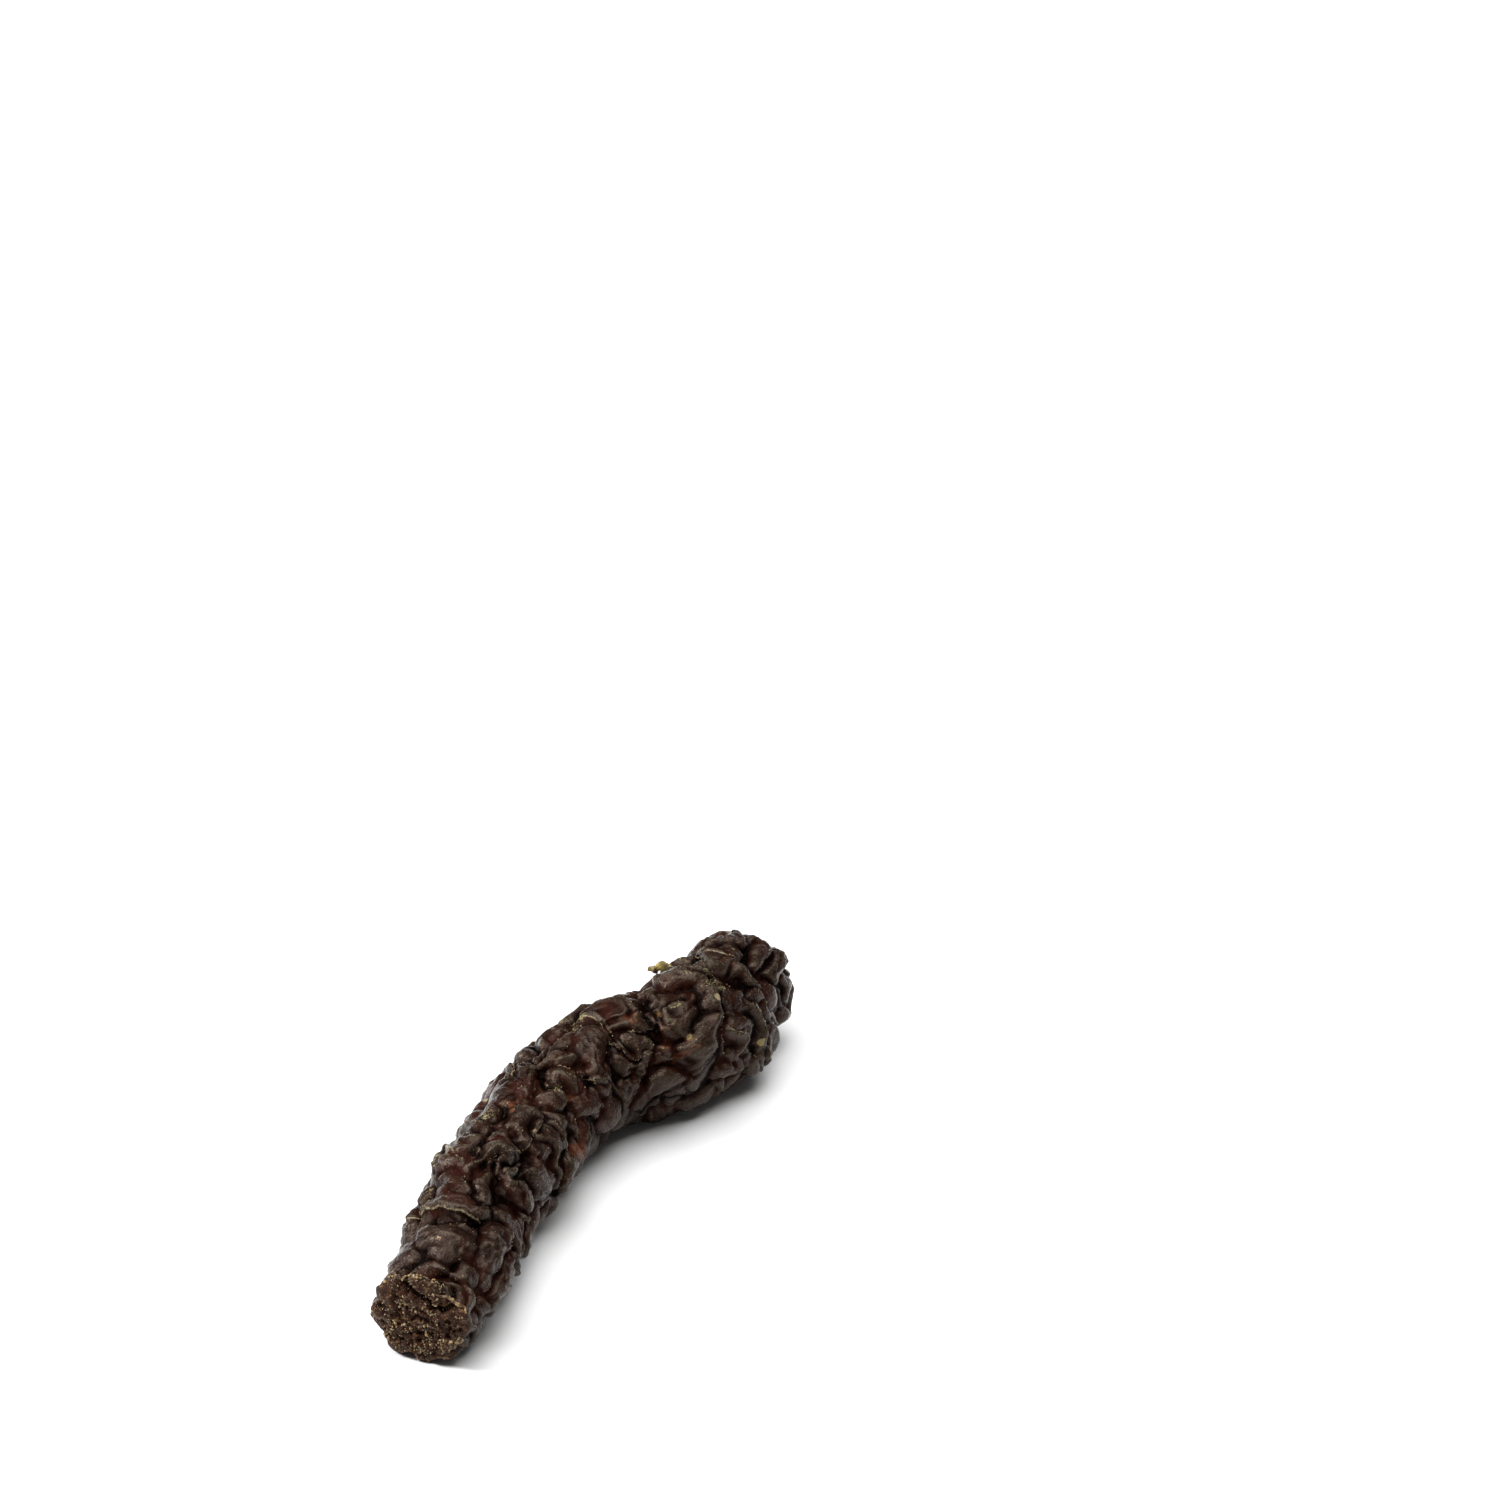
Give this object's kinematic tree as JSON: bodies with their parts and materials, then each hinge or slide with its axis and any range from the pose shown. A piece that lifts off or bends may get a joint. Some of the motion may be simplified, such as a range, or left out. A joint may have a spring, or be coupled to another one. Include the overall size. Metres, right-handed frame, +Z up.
{
  "type": "dried beef stick",
  "caption": "Dried, deeply wrinkled beef stick chew for dogs, with a cut end and a knobbly end, lying on its side.",
  "frame": {"origin": "below the middle of the stick's box, on the surface it lies on", "axes": "+X along the stick from the cut face to the knobbly head, +Z up, +Y to the side that the stick's middle bows towards"},
  "size_m": [0.123, 0.0338, 0.0245],
  "materials": {
    "dried_beef": "semi-gloss, tough and waxy"
  },
  "bodies": {
    "root": {"beef_stick": "dried_beef"}
  },
  "joints": []
}
